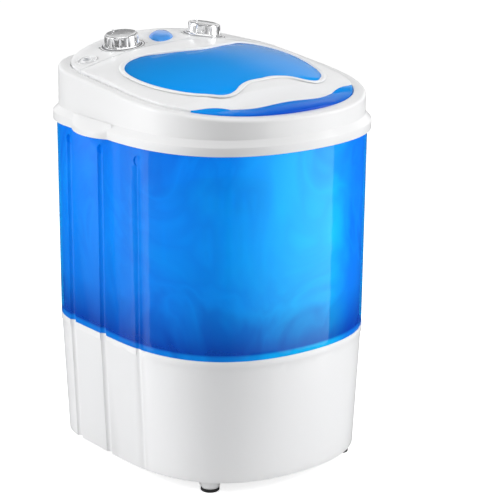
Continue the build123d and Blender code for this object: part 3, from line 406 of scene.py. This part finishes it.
# Slot: darker colour, lighter colour, lowest and highest roughness, and how its streaks are stretched.
METAL = {
    "steel": ((0.48, 0.49, 0.51), (0.62, 0.63, 0.65), 0.29, 0.38, (1, 1, 14)),
    "bronze": ((0.42, 0.25, 0.10), (0.55, 0.35, 0.15), 0.30, 0.45, (1, 1, 14)),
    "zinc": ((0.52, 0.54, 0.55), (0.68, 0.69, 0.70), 0.29, 0.40, (6, 6, 6)),
}
SPECIAL = {"tub_blue": tub_blue, "lid_blue": lid_blue, "leaf_blue": leaf_blue, "chrome_knob": chrome,
           "painted_metal": enamel, "rubber": rubber}


def make_materials():
    """Every material slot of the record, by name."""
    materials = {slot: moulded(slot, *values) for slot, values in MOULDED.items()}
    materials.update({slot: steel(slot, *values) for slot, values in METAL.items()})
    materials.update({slot: build() for slot, build in SPECIAL.items()})
    return materials


def ink():
    """Dark grey print of the marks round the knobs; the same ink also draws the painted shadow line round
    each knob.
    """
    look = Look("ink")
    look.colour(look.ramp(look.noise(300), [(0.3, (0.10, 0.10, 0.11)), (0.7, (0.17, 0.17, 0.18))]))
    look.rough(look.noise(400), 0.45, 0.6)
    look.bump(look.noise(900, 2), 0.05, 0.0001)
    return look.material


# ---- CAD nodes: finish and soft edges ----
# Width of the rounding on sharp edges, in metres.
EDGE = {"top_frame": 0.0012, "lid_cover": 0.0012, "control_panel": 0.0012, "base_housing": 0.0009,
        "tub": 0.0008, "lid_shell": 0.0010, "wash_knob": 0.0004, "spin_knob": 0.0004, "inlet_cup": 0.0005,
        "foot_legs": 0.0006, "pulsator": 0.0012, "spin_basket": 0.0005}
ROUNDED_ABOVE, SPLIT_ABOVE = 38, 32    # degrees between two faces
WELD_DISTANCE = 0.00002


def finish_nodes():
    """Gives each CAD node its material, rounds its sharp edges and shades the rest smooth."""
    for row in frame["record"]["subparts"]:
        node = frame["nodes"][row["node"]]
        node.data.materials.clear()
        node.data.materials.append(made[row["material_slot"]])
        for face in node.data.polygons:
            face.use_smooth = True
        weld = node.modifiers.new("weld", "WELD")
        weld.merge_threshold = WELD_DISTANCE
        if row["node"] in EDGE:
            soft = node.modifiers.new("soft_edges", "BEVEL")
            soft.limit_method, soft.angle_limit = "ANGLE", math.radians(ROUNDED_ABOVE)
            soft.width, soft.segments = EDGE[row["node"]], 2
        crisp = node.modifiers.new("crisp", "EDGE_SPLIT")
        crisp.split_angle = math.radians(SPLIT_ABOVE)


# ---- pieces laid on the CAD surfaces ----
def top_of(name):
    """Function giving the point and normal of a CAD node's upper surface over (x, y), or None."""
    mesh = frame["nodes"][name].data
    tree = BVHTree.FromPolygons([v.co for v in mesh.vertices], [p.vertices for p in mesh.polygons])

    def top(x, y):
        point, normal, _, _ = tree.ray_cast(Vector((x, y, 1)), Vector((0, 0, -1)))
        return None if point is None else (point, normal if normal.z > 0 else -normal)

    return top


def edge_of_hole(top, centre, heading):
    """Distance from the centre of a hole, along a heading, at which the surface begins."""
    step, reach, farthest, halvings = 0.002, 0.0, 0.16, 9
    while reach < farthest and top(centre[0] + reach * heading[0], centre[1] + reach * heading[1]) is None:
        reach += step
    inner, outer = reach - step, reach
    for _ in range(halvings):
        middle = (inner + outer) / 2
        if top(centre[0] + middle * heading[0], centre[1] + middle * heading[1]) is None:
            inner = middle
        else:
            outer = middle
    return outer


def new_piece(name, verts, faces, material, slot, body):
    """Smooth-shaded mesh that rides on a body, in the given material. The slot is not used."""
    mesh = bpy.data.meshes.new(name)
    mesh.from_pydata(verts, [], faces)
    for face in mesh.polygons:
        face.use_smooth = True
    mesh.materials.append(material)
    piece = bpy.data.objects.new(name, mesh)
    bpy.context.scene.collection.objects.link(piece)
    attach(piece, body)
    return piece


def smoothed(points, closed, times):
    """Each point moved to the middle of its neighbours, a few times."""
    for _ in range(times):
        count = len(points)
        moved = []
        for i, point in enumerate(points):
            if not closed and i in (0, count - 1):
                moved.append(point)
            else:
                moved.append((points[i - 1] + points[(i + 1) % count]) / 4 + point / 2)
        points = moved
    return points


def bead(name, path, closed, width, tall, sunk, finish, body, sides):
    """Half-round rib lying on a surface. path holds (point, normal) pairs, and finish a material
    and its slot."""
    verts, faces = [], []
    count = len(path)
    for i, (point, normal) in enumerate(path):
        before = path[i - 1][0] if closed or i else point
        after = path[(i + 1) % count][0] if closed or i < count - 1 else point
        side = (after - before).cross(normal).normalized()
        for k in range(sides):
            turn = math.pi * k / (sides - 1)
            verts.append(point + side * (width / 2 * math.cos(turn))
                         + normal * (tall * math.sin(turn) - sunk))
    for i in range(count if closed else count - 1):
        for k in range(sides - 1):
            a, b = i * sides + k, ((i + 1) % count) * sides + k
            faces.append((a, b, b + 1, a + 1))
    material, slot = finish
    new_piece(name, verts, faces, material, slot, body)


LIP_WIDE, LIP_TALL, LIP_SUNK = 0.0064, 0.0022, 0.0002
LIP_FROM_EDGE = 0.0034
LIP_POINTS = 240


def window_lip():
    """Raised lip round the lid's window."""
    top = top_of("lid_cover")
    low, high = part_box("lid_cover")
    centre = (0.0, low.y + 0.51 * (high.y - low.y))
    edge = []
    for i in range(LIP_POINTS):
        angle = math.tau * i / LIP_POINTS
        heading = (math.cos(angle), math.sin(angle))
        reach = edge_of_hole(top, centre, heading)
        edge.append(Vector((centre[0] + reach * heading[0], centre[1] + reach * heading[1], 0)))
    edge = smoothed(edge, True, 3)
    crest = []
    for i, point in enumerate(edge):
        along = (edge[(i + 1) % LIP_POINTS] - edge[i - 1]).normalized()
        outward = Vector((along.y, -along.x, 0)) * LIP_FROM_EDGE
        found = top(point.x + outward.x, point.y + outward.y)
        if found:
            crest.append(found[0])
    up = Vector((0, 0, 1))
    path = [(point, up) for point in smoothed(crest, True, 5)]
    finish = (made["panel_white"], "panel_white")
    bead("window_lip", path, True, LIP_WIDE, LIP_TALL, LIP_SUNK, finish, "lid", 9)


LEAF_LONG, LEAF_HALF_WIDE, LEAF_RISE, LEAF_SUNK = 0.064, 0.0152, 0.0048, 0.0003
LEAF_ROWS, LEAF_COLUMNS = 40, 20


def raised_leaf():
    """Domed blue leaf standing on the panel, narrow at both ends."""
    top = top_of("control_panel")
    low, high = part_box("leaf_window")
    middle = Vector(((low.x + high.x) / 2, (low.y + high.y) / 2, 0))
    along = Vector((0.63, 0.777, 0)).normalized()
    across = Vector((along.y, -along.x, 0))
    start = middle - along * 0.034
    verts, faces = [], []
    for i in range(LEAF_ROWS + 1):
        t = i / LEAF_ROWS
        inside = 0 < i < LEAF_ROWS
        wide = LEAF_HALF_WIDE * math.sin(math.pi * t ** 0.9) ** 0.62 if inside else 0.0
        crown = LEAF_RISE * math.sin(math.pi * t) ** 0.45 if inside else 0.0
        sides = []
        for side in (-1, 1):
            point = start + along * (LEAF_LONG * t) + across * (side * wide)
            found = top(point.x, point.y)
            sides.append(found[0] if found else Vector((point.x, point.y, high.z)))
        for k in range(LEAF_COLUMNS + 1):
            s = k / LEAF_COLUMNS
            point = sides[0].lerp(sides[1], s)
            point.z += crown * (1 - (2 * s - 1) ** 4) - LEAF_SUNK
            verts.append(point)
    for i in range(LEAF_ROWS):
        for k in range(LEAF_COLUMNS):
            a = i * (LEAF_COLUMNS + 1) + k
            faces.append((a, a + 1, a + LEAF_COLUMNS + 2, a + LEAF_COLUMNS + 1))
    leaf = new_piece("raised_leaf", verts, faces, made["leaf_blue"], "leaf_blue", "cabinet")
    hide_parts("leaf_window")


PRINT_TALL = 0.00012
# The line nearest each knob is painted shadow where the knob meets the panel, drawn in the ink of the print.
ARC_CLEAR, SHADOW_RING_CLEAR, TICK_CLEAR = 0.0042, 0.0008, 0.0014
ARC_WIDE, SHADOW_RING_WIDE, ARROW_WIDE, TICK_WIDE = 0.0011, 0.0016, 0.0008, 0.0007
ARC_FIRST, ARC_LAST = -212, 32    # degrees from +X


def dial_marks(knob, name):
    """Painted shadow line round a timer knob where it meets the panel, and outside it a print of an arc
    with ticks and arrow heads, open at the back."""
    low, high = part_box(knob)
    cx, cy = (low.x + high.x) / 2, (low.y + high.y) / 2
    radius_of_knob = (high.x - low.x) / 2
    reach = radius_of_knob + ARC_CLEAR
    top = top_of("control_panel")

    def on_panel(angle, radius):
        return top(cx + radius * math.cos(angle), cy + radius * math.sin(angle))

    def stroke(part, points, width):
        path = [p for p in points if p]
        if len(path) > 1:
            finish = (print_and_shadow_ink, "black_plastic")
            bead(f"{name}_{part}", path, False, width, PRINT_TALL, 0.0, finish, "cabinet", 3)

    first, last = math.radians(ARC_FIRST), math.radians(ARC_LAST)
    stroke("arc", [on_panel(first + (last - first) * i / 60, reach) for i in range(61)], ARC_WIDE)
    # Painted shadow: a dark ring round the knob where it meets the panel.
    stroke("painted_shadow_ring", [on_panel(math.tau * i / 72, radius_of_knob + SHADOW_RING_CLEAR) for i in range(73)], SHADOW_RING_WIDE)
    for end, way, which_end in ((first, 1, "a"), (last, -1, "b")):
        for out, which_side in ((-0.0022, "i"), (0.0022, "o")):
            stroke(f"arrow_{which_end}{which_side}",
                   [on_panel(end + way * 0.09 * k / 3, reach + out * k / 3) for k in range(4)], ARROW_WIDE)
    for i in range(7):
        angle = math.radians(-180 + 30 * i)
        stroke(f"tick_{i}", [on_panel(angle, reach + TICK_CLEAR + 0.0008 * k) for k in range(4)], TICK_WIDE)


made = make_materials()
# Ink for the print and for the painted shadow rings round the knobs.
print_and_shadow_ink = ink()
finish_nodes()
make_camera()
make_world()
make_floor()
make_lights()
window_lip()
raised_leaf()
dial_marks("wash_knob", "wash_dial_marks")
dial_marks("spin_knob", "spin_dial_marks")
bpy.context.scene.view_settings.view_transform = "Standard"
